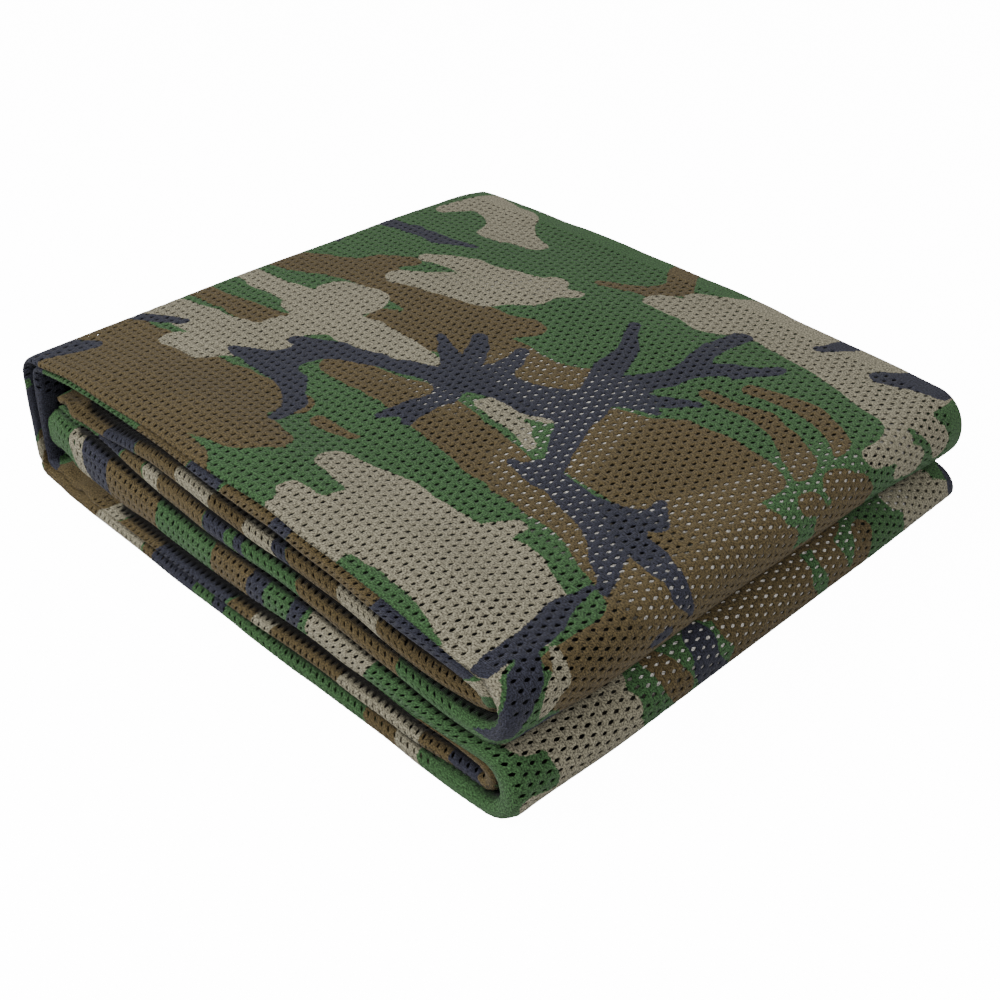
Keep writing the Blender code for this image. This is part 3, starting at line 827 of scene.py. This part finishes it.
def ridgeStrokes(ink, bands):
    # the ridges' patches of one ink as strokes across the folds, side by side along each patch
    reach, radius = ridgePatch["reach"], ridgePatch["radius"]
    strokes = []
    for (bundle, name), stretches in ridgePrint.items():
        at, row = bands[name], rowAb if name == "ab" else rowCd
        inward = reach if bundle or name == "ab" else ridgePatch["stop"]
        wallAt = turnsOf(row)[1] / mesh["samples"] * mesh["pitch"]
        for start, stop, lean, colour in stretches:
            if colour != ink:
                continue
            if bundle:
                first, last = (columnAt(bundle, row, x) * mesh["pitch"] for x in (start, stop))
            else:
                first, last = wallAt + start, wallAt + stop
            middle, span = (first + last) / 2.0, abs(last - first) / 2.0
            cap = min(radius, span)
            slant = np.sign(last - first) * lean
            for shift in np.linspace(cap - span, span - cap, 1 + int(span / ridgePatch["step"])):
                foot, head = middle + shift - slant, middle + shift + slant
                strokes.append((foot, at - reach, cap, head, at + inward, cap))
    return strokes


def unlitShare(along, across, spots):
    # painted shade, how dark it is: by how far a point lies behind its own ridge's tip, on layer a only
    # between the two halves. Beside the wrap and at the strip's ends light reaches further in.
    tips = [sample(dense, along, np.full_like(along, row))[:, 1] for row in (rowAb, rowCd)]
    behind = spots[:, 1] - np.where(across < (rowAb + rowCd) / 2.0, *tips)
    toWrap, toEnd = np.abs(along - wallMiddle), np.minimum(along, columnCount - along)
    openEnd = np.maximum(unlit["wrapCells"] - toWrap, unlit["endCells"] - toEnd)
    lit = unlit["openClear"] * smooth(openEnd / unlit["cellFade"])
    behind = smooth((behind - unlit["clear"] - lit) / unlit["fade"])
    past = np.maximum(noseUp - unlit["noseCells"] - along, along - noseLow - unlit["noseCells"])
    inside = np.where(across > rowAb, 1.0, smooth(past / unlit["cellFade"])) * behind
    return inside * smooth((halfWidth - unlit["backClear"] - spots[:, 1]) / unlit["backFade"])


def printFields(along, across, spots):
    # the inks' fields at places counted in cells: the top's own print and its repeats, blended over
    # to the patches of the ridges, the noses and the wall, each field moved a little by noise
    flat = np.stack([along * mesh["pitch"], across * mesh["rowPitch"]], axis=1)
    deep = np.column_stack([flat, np.zeros(len(flat))])
    wobbly = flat.copy()
    for axis in range(2):
        wobbly[:, axis] += blur["wobble"] * waves(deep, blur["wobbleLength"], blur["seed"] + axis)
        wobbly[:, axis] += blur["fray"] * waves(deep, blur["frayLength"], blur["seed"] + 2 + axis)
    home = np.array([topColumn * mesh["pitch"], topRow * mesh["rowPitch"]])
    bands = {"ab": rowAb * mesh["rowPitch"], "cd": rowCd * mesh["rowPitch"]}
    fromTop = np.abs(flat[:, 0] - home[0] + zones["topShift"])
    toBand = {name: np.abs(flat[:, 1] - at) for name, at in bands.items()}
    fields = {ink: strokeField(home - wobbly, printed[ink]) for ink in inks}
    onFrontRoll = (fromTop < zones["rollHalf"][0]) & (toBand["ab"] < zones["rollHalf"][1])
    for column, row in repeats:
        moved = home + (column * repeatLength, row * repeatWidth) - wobbly
        moved = -moved if (column + row) % 2 else moved
        inside = np.flatnonzero(np.all(np.abs(moved) < zones["repeatHalf"], axis=1) & ~onFrontRoll)
        for ink in inks:
            own = strokeField(moved[inside], printed[ink])
            fields[ink][inside] = np.maximum(fields[ink][inside], own)
    # how far the ridges', the noses' and the wall's own patches hold
    share = {name: smooth((zones["bands"][name] - toBand[name]) / zones["bandFade"]) for name in bands}
    outsideTop = smooth((fromTop - zones["topHalf"]) / zones["topFade"])
    ridge = np.maximum(outsideTop * share["ab"], share["cd"])
    onLayerA = smooth((bands["ab"] + zones["pastAb"] - flat[:, 1]) / zones["bandFade"])
    noses = {}
    for name, tip in (("upper", noseUp), ("lower", noseLow), ("wall", wallMiddle)):
        high = flat[:, 0] - tip * mesh["pitch"]
        below = smooth((zones["noseBelow"] + high) / zones["noseFade"])
        above = smooth((zones["noseAbove"][name] - high) / zones["noseFade"])
        around = (wobbly - (tip * mesh["pitch"], home[1])) * (1.0, -1.0)
        noses[name] = (below * above * onLayerA, around)
    for ink in inks:
        blended = [(ridge, strokeField(wobbly, ridgeStrokes(ink, bands), 1.0))]
        for name, (held, around) in noses.items():
            blended.append((held, strokeField(around, nosePrint[name][ink])))
        for held, own in blended:
            under, over = (np.maximum(field, zones["deepest"]) for field in (fields[ink], own))
            fields[ink] = under * (1.0 - held) + over * held
    # the reverse of layer b, where it touches layer a, and painted shade on the unlit inside where it doesn't
    fade = reverseEdge["fade"]
    inLayerB = smooth((across - rowAb - reverseEdge["fromAb"]) / fade)
    inLayerB = inLayerB * smooth((rowBc - reverseEdge["toBc"] - across) / fade)
    fields["reverse"] = inLayerB * touchShare(spots[:, 0], spots[:, 1])
    fields["shade"] = unlitShare(along, across, spots) * (1.0 - fields["reverse"])
    return fields


def latticeVertices():
    # corners of the cells: lines of corners between the rows, half a pitch apart, each moved
    # towards the row whose cells meet there, so that the bricks become hexagons
    j, k = np.meshgrid(np.arange(2 * columnCount + 2), np.arange(rowCount + 1), indexing="ij")
    zig = np.where((j + k) % 2 == 0, mesh["zigzag"], -mesh["zigzag"])
    zig = np.where((k == 0) | (k == rowCount), 0.0, zig)
    return np.minimum(j / 2.0, columnCount + 0.5), k + zig


# the lattice ends half a cell further on than the strip
cornerAlong, cornerAcross = latticeVertices()
scaleAlong = columnCount / (columnCount + 0.5)


def surfacePoint(along, across):
    # place, normal and both tangents on the folded cloth
    a, b = drifted(along * scaleAlong, across)
    return a, b, *(sample(grid, a, b) for grid in (dense, normals, tangentAlong, tangentAcross))


def clothPiece(name, columns, rows):
    # one stretch of the cloth: six corners round each cell, and eight rim points round each hole
    chosen = (slice(*columns), slice(*rows))
    column, row, isOpen = (grid[chosen].ravel() for grid in (cellColumn, cellRow, openCell))
    shift = row % 2
    j = 2 * column + shift
    lines = rowCount + 1

    def corner(step, up):
        return (j + step) * lines + row + up

    # anticlockwise from the lower left
    turn = ((0, 0), (1, 0), (2, 0), (2, 1), (1, 1), (0, 1))
    around = np.stack([corner(step, up) for step, up in turn], axis=1)
    # half cells at the ends of the strip
    halves = []
    ends = ((columns[0] == 0, 1, 0), (columns[1] == columnCount, 0, 2 * columnCount * lines))
    for reached, odd, first in ends:
        k = np.arange(*rows)
        k = k[k % 2 == odd] + first
        if reached:
            halves.append(np.stack([k, k + lines, k + lines + 1, k + 1], axis=1))
    used = np.unique(np.concatenate([around.ravel()] + [h.ravel() for h in halves]))
    renumber = np.full(cornerAlong.size, -1)
    renumber[used] = np.arange(len(used))
    along, across = cornerAlong.ravel()[used], cornerAcross.ravel()[used]
    a, b, spots, facing = surfacePoint(along, across)[:4]
    # the rims: a pointed ellipse with its long side across the strip, and the foot of its wall
    openCells = np.flatnonzero(isOpen)
    angle = np.radians(np.arange(8) * 45.0 - 135.0)
    tip = np.arange(8) % 2 == 1
    ways = np.stack([np.cos(angle), np.sin(angle)])
    outline = np.where(tip, ways, np.sign(ways) * np.array(mesh["holeShape"])[:, None])
    middleAlong = (column[openCells] + 0.5 + shift[openCells] / 2.0)[:, None]
    middleAcross = (row[openCells] + 0.5)[:, None]
    wide, tall = (scale[chosen].ravel()[openCells][:, None] for scale in holeScale)
    lean = [np.tile(way, len(openCells))[:, None] for way in ways]

    def rimRing(size, depth, turn):
        # one ring of eight points, at a share of the hole's size and a depth under the cloth
        ringAlong = middleAlong + size * wide * mesh["holeWidth"] / 2.0 * outline[0] / mesh["pitch"]
        ringAcross = middleAcross + size * tall * mesh["holeLength"] / 2.0 * outline[1] / mesh["rowPitch"]
        a, b, spots, facing, alongWay, acrossWay = surfacePoint(ringAlong.ravel(), ringAcross.ravel())
        leaning = unit(facing - turn * (lean[0] * alongWay + lean[1] * acrossWay))
        return a, b, spots - depth * facing, leaning, ringAlong.ravel(), ringAcross.ravel()

    rim = rimRing(1.0, mesh["rimDip"], mesh["rimTurn"])
    foot = rimRing(mesh["wallTaper"], mesh["wallDepth"], mesh["wallTurn"])
    allA, allB, allSpots, allFacing, flatAlong, flatAcross = (
        np.concatenate(parts) for parts in zip((a, b, spots, facing, along, across), rim, foot)
    )
    points = allSpots * mm
    # faces round a hole: from the cell's corners h to the rim's points r, moving on by one corner or
    # one point at each step of the walk, then from the rim to the foot f of the hole's wall
    ring = renumber[around]
    closed, h = ring[~isOpen], ring[openCells]
    r = len(used) + np.arange(len(openCells) * 8).reshape(-1, 8)
    f = r + len(openCells) * 8
    triangles = []
    i = k = 0
    for step in mesh["walk"]:
        onward = h[:, (i + 1) % 6] if step == "h" else r[:, (k + 1) % 8]
        triangles.append((h[:, i % 6], onward, r[:, k % 8]))
        i, k = (i + 1, k) if step == "h" else (i, k + 1)
    for k in range(8):
        n = (k + 1) % 8
        triangles += [(r[:, k], r[:, n], f[:, k]), (r[:, n], f[:, n], f[:, k])]
    triangles = np.concatenate([np.stack(t, axis=1) for t in triangles])
    quads = renumber[np.concatenate(halves)] if halves else np.zeros((0, 4), int)
    loops = np.concatenate([triangles.ravel(), closed.ravel(), quads.ravel()]).astype(np.int32)
    sizes = np.concatenate([np.full(len(triangles), 3), np.full(len(closed), 6), np.full(len(quads), 4)])
    starts = np.concatenate([[0], np.cumsum(sizes)[:-1]]).astype(np.int32)
    data = bpy.data.meshes.new(name)
    data.vertices.add(len(points))
    data.loops.add(len(loops))
    data.polygons.add(len(sizes))
    data.vertices.foreach_set("co", points.astype(np.float32).ravel())
    data.loops.foreach_set("vertex_index", loops)
    data.polygons.foreach_set("loop_start", starts)
    data.update(calc_edges=True)
    data.shade_smooth()
    # the flat cloth as a map: the weave's in metres, and one from 0 to 1 over the piece
    weave = np.stack([flatAlong * mesh["pitch"], flatAcross * mesh["rowPitch"]], axis=1) * mm
    border = 0.002
    size = weave.max(0) - weave.min(0)
    spread = (weave - weave.min(0)) / size * (1.0 - 2.0 * border) + border
    for label, values in (("weave", weave), ("OFBake", spread)):
        data.uv_layers.new(name=label).uv.foreach_set("vector", values[loops].astype(np.float32).ravel())
    fields = printFields(allA, allB, allSpots)
    # painted shade: the feet of the holes' walls are made fully dark
    fields["shade"][len(used) + 8 * len(openCells) :] = 1.0
    for ink, field in fields.items():
        data.attributes.new(ink, "FLOAT", "POINT").data.foreach_set("value", field.astype(np.float32))
    data.normals_split_custom_set_from_vertices(allFacing)
    piece = bpy.data.objects.new(name, data)
    bpy.context.collection.objects.link(piece)
    return piece, size.tolist(), len(loops) - 2 * len(sizes)


# Colours as linear light, and how the yarn takes them.
cloth = {
    "green": (0.034, 0.078, 0.029),
    "brown": (0.073, 0.054, 0.024),
    "khaki": (0.186, 0.171, 0.121),
    "navy": (0.022, 0.023, 0.034),
    "reverse": (0.53, 0.51, 0.47),  # unprinted
    "finish": {"Roughness": 0.95, "Specular IOR Level": 0.15, "Sheen Weight": 0.06, "Sheen Roughness": 0.5},
    "shade": 0.96,  # painted shade: how much darker the colour is made on the unlit inside and on the holes' walls
    "stitchNoise": 900.0,  # the inks' edges follow single stitches: how many to a metre, how far
    "stitchEdge": 1.6,
    "inkEdge": 0.25,
    "patchNoise": 28.0,  # uneven dye
    "patchLight": 0.30,
    "yarnNoise": 1300.0,  # the light and dark of single yarns
    "yarnRoughness": 0.6,
    "yarnLight": 4.0,
    "light": 1.04,
    "leastLight": 0.3,
    "wales": 6.0,  # ridges of stitches to a hole's pitch, along the strip and across it
    "courses": 5.0,
    "knitHeight": 0.25,
    "yarnHeight": 0.7,
    "yarnBump": 0.45,
    "bumpDepth": 0.0006,
}


def setInputs(node, values):
    # constant values on a node's sockets
    for name, value in values.items():
        node.inputs[name].default_value = value


def clothMaterial():
    # the print's fields as inks, the yarns' light and shade, the painted shade of the unlit inside and the
    # holes' walls, and the knit's relief as a bump
    material = bpy.data.materials.new("camouflageMesh")
    material.use_nodes = True
    tree = material.node_tree
    link = tree.links.new

    def node(kind, **values):
        made = tree.nodes.new(kind)
        for key, value in values.items():
            setattr(made, key, value)
        return made

    def field(name):
        # an attribute of the points
        return node("ShaderNodeAttribute", attribute_name=name).outputs["Fac"]

    weave = node("ShaderNodeUVMap", uv_map="weave").outputs["UV"]

    def noise(scale, detail, roughness=0.5):
        made = node("ShaderNodeTexNoise")
        setInputs(made, {"Scale": scale, "Detail": detail, "Roughness": roughness})
        link(weave, made.inputs["Vector"])
        return made.outputs["Fac"]

    def arithmetic(operation, first, second=None):
        made = node("ShaderNodeMath", operation=operation)
        for socket, value in zip(made.inputs, (first, second)):
            if isinstance(value, float):
                socket.default_value = value
            elif value is not None:
                link(value, socket)
        return made.outputs["Value"]

    def centred(texture, amount):
        # noise about nought, by an amount
        return arithmetic("MULTIPLY", arithmetic("SUBTRACT", texture, 0.5), amount)

    def covered(colour, name, share):
        # the named colour laid over another, or over the green ground, by a share
        mix = node("ShaderNodeMix", data_type="RGBA")
        setInputs(mix, {"A": (*cloth["green"], 1.0), "B": (*cloth[name], 1.0)})
        if colour is not None:
            link(colour, mix.inputs["A"])
        link(share, mix.inputs["Factor"])
        return mix.outputs["Result"]

    # the inks, one over the other on the green ground, and the unprinted reverse
    jitter = centred(noise(cloth["stitchNoise"], 1.0), cloth["stitchEdge"])
    colour = None
    for ink in inks:
        edge = node("ShaderNodeMapRange", interpolation_type="SMOOTHSTEP")
        setInputs(edge, {"From Min": -cloth["inkEdge"], "From Max": cloth["inkEdge"]})
        link(arithmetic("ADD", field(ink), jitter), edge.inputs["Value"])
        colour = covered(colour, ink, edge.outputs["Result"])
    colour = covered(colour, "reverse", field("reverse"))
    # uneven dye, the yarns' light and dark, and the painted shade of the unlit inside and the holes' walls
    patchy = noise(cloth["patchNoise"], 3.0)
    yarn = noise(cloth["yarnNoise"], 1.0, cloth["yarnRoughness"])
    light = arithmetic("ADD", centred(patchy, cloth["patchLight"]), centred(yarn, cloth["yarnLight"]))
    light = arithmetic("MAXIMUM", arithmetic("ADD", light, cloth["light"]), cloth["leastLight"])
    shaded = arithmetic("MULTIPLY", field("shade"), cloth["shade"])
    light = arithmetic("MULTIPLY", light, arithmetic("SUBTRACT", 1.0, shaded))
    scaled = node("ShaderNodeVectorMath", operation="SCALE")
    link(colour, scaled.inputs[0])
    link(light, scaled.inputs["Scale"])
    # stitches as ridges both ways, and fuzz
    split = node("ShaderNodeSeparateXYZ")
    link(weave, split.inputs["Vector"])
    turns = 2.0 * math.pi / (mesh["pitch"] * mm)
    wale = arithmetic("SINE", arithmetic("MULTIPLY", split.outputs["X"], turns * cloth["wales"]))
    course = arithmetic("SINE", arithmetic("MULTIPLY", split.outputs["Y"], turns * cloth["courses"]))
    knit = arithmetic("MULTIPLY", arithmetic("ADD", wale, course), cloth["knitHeight"])
    fuzz = arithmetic("MULTIPLY", yarn, cloth["yarnHeight"])
    bump = node("ShaderNodeBump")
    setInputs(bump, {"Strength": cloth["yarnBump"], "Distance": cloth["bumpDepth"]})
    link(arithmetic("ADD", knit, fuzz), bump.inputs["Height"])
    shader = tree.nodes["Principled BSDF"]
    link(scaled.outputs["Vector"], shader.inputs["Base Color"])
    link(bump.outputs["Normal"], shader.inputs["Normal"])
    setInputs(shader, cloth["finish"])
    return material


camouflage = clothMaterial()

# The cloth is one sheet, cut into stretches only so that no piece is too heavy. Columns, rows.
beforeNose, besideWall, pastFold = 8, 14, 8
upAt, wallAt, lowAt = int(noseUp) - beforeNose, int(wallMiddle), int(noseLow) - beforeNose
cuts = {
    "columns": (0, upAt, wallAt - besideWall, wallAt + besideWall, lowAt, columnCount),
    "rows": (0, int(rowAb) + pastFold, rowCount),
    "names": (
        ("startOuter", "startInner"), ("topFace", "topInner"), ("wrapOuter", "wrapInner"),
        ("floorFace", "floorInner"), ("endOuter", "endInner"),
    ),
}
total = 0
for i, names in enumerate(cuts["names"]):
    for j, name in enumerate(names):
        piece, size, triangles = clothPiece(name, cuts["columns"][i : i + 2], cuts["rows"][j : j + 2])
        piece.data.materials.append(camouflage)
        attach(piece, "root")
        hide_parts("net")
        total += triangles
        print(f"{name}: {size[0]:.3f} x {size[1]:.3f} m, {triangles} triangles")
print(f"stage 4: cloth built, {total} triangles")

# Camera in the frame's metres, as an eye, a direction and a roll in degrees.
view = {
    "eye": (0.40235, -0.3695, 0.3668),
    "azimuth": 46.73,  # degrees to the left of +y
    "elevation": 34.12,
    "roll": 1.47,
    "lens": 50.6,
    "sensor": 36.0,
    "nearest": 0.01,
}
camera = bpy.data.objects.new("camera", bpy.data.cameras.new("camera"))
bpy.context.collection.objects.link(camera)
azimuth, elevation, roll = (math.radians(view[name]) for name in ("azimuth", "elevation", "roll"))
level = math.cos(elevation)
ahead = Vector((-math.sin(azimuth) * level, math.cos(azimuth) * level, -math.sin(elevation)))
aim = ahead.to_track_quat("-Z", "Y").to_matrix().to_4x4()
camera.matrix_world = Matrix.Translation(view["eye"]) @ aim @ Matrix.Rotation(-roll, 4, "Z")
camera.data.lens = view["lens"]
camera.data.sensor_width = view["sensor"]
camera.data.clip_start = view["nearest"]
bpy.context.scene.camera = camera

# Pale floor, which looks whiter than it lights the pack, and soft studio light.
studio = {
    "floor": 6.0,
    "floorDepth": 0.0004,
    "floorColour": (0.8, 0.8, 0.8),
    "floorRoughness": 0.9,
    "glow": 14.0,
    "world": 0.24,
    "aimedAt": (0.0, 0.0, 0.04),
}
white = (1.0, 1.0, 1.0, 1.0)
bpy.ops.mesh.primitive_plane_add(size=studio["floor"], location=(0.0, 0.0, -studio["floorDepth"]))
ground = bpy.context.object
ground.name = "floor"
paper = bpy.data.materials.new("paper")
paper.use_nodes = True
paperShader = paper.node_tree.nodes["Principled BSDF"]
setInputs(paperShader, {
    "Base Color": (*studio["floorColour"], 1.0),
    "Roughness": studio["floorRoughness"],
    "Emission Color": white,
})
seen = paper.node_tree.nodes.new("ShaderNodeLightPath")
glow = paper.node_tree.nodes.new("ShaderNodeMath")
glow.operation = "MULTIPLY"
glow.inputs[1].default_value = studio["glow"]
paper.node_tree.links.new(seen.outputs["Is Camera Ray"], glow.inputs[0])
paper.node_tree.links.new(glow.outputs["Value"], paperShader.inputs["Emission Strength"])
ground.data.materials.append(paper)

world = bpy.data.worlds.new("studio")
world.use_nodes = True
setInputs(world.node_tree.nodes["Background"], {"Color": white, "Strength": studio["world"]})
bpy.context.scene.world = world

# name, place, size, watts
lamps = (
    ("keyLamp", (-0.45, -1.04, 1.06), 0.7, 28.5),
    ("backLamp", (0.3, 1.3, 0.9), 0.9, 5.0),
    ("fillLamp", (1.05, -0.2, 1.05), 0.7, 10.0),
)
for name, spot, size, watts in lamps:
    lamp = bpy.data.objects.new(name, bpy.data.lights.new(name, "AREA"))
    lamp.data.size = size
    lamp.data.energy = watts
    lamp.location = spot
    lamp.rotation_euler = (Vector(studio["aimedAt"]) - Vector(spot)).to_track_quat("-Z", "Y").to_euler()
    bpy.context.collection.objects.link(lamp)
print("stage 5: camera, floor and light set")
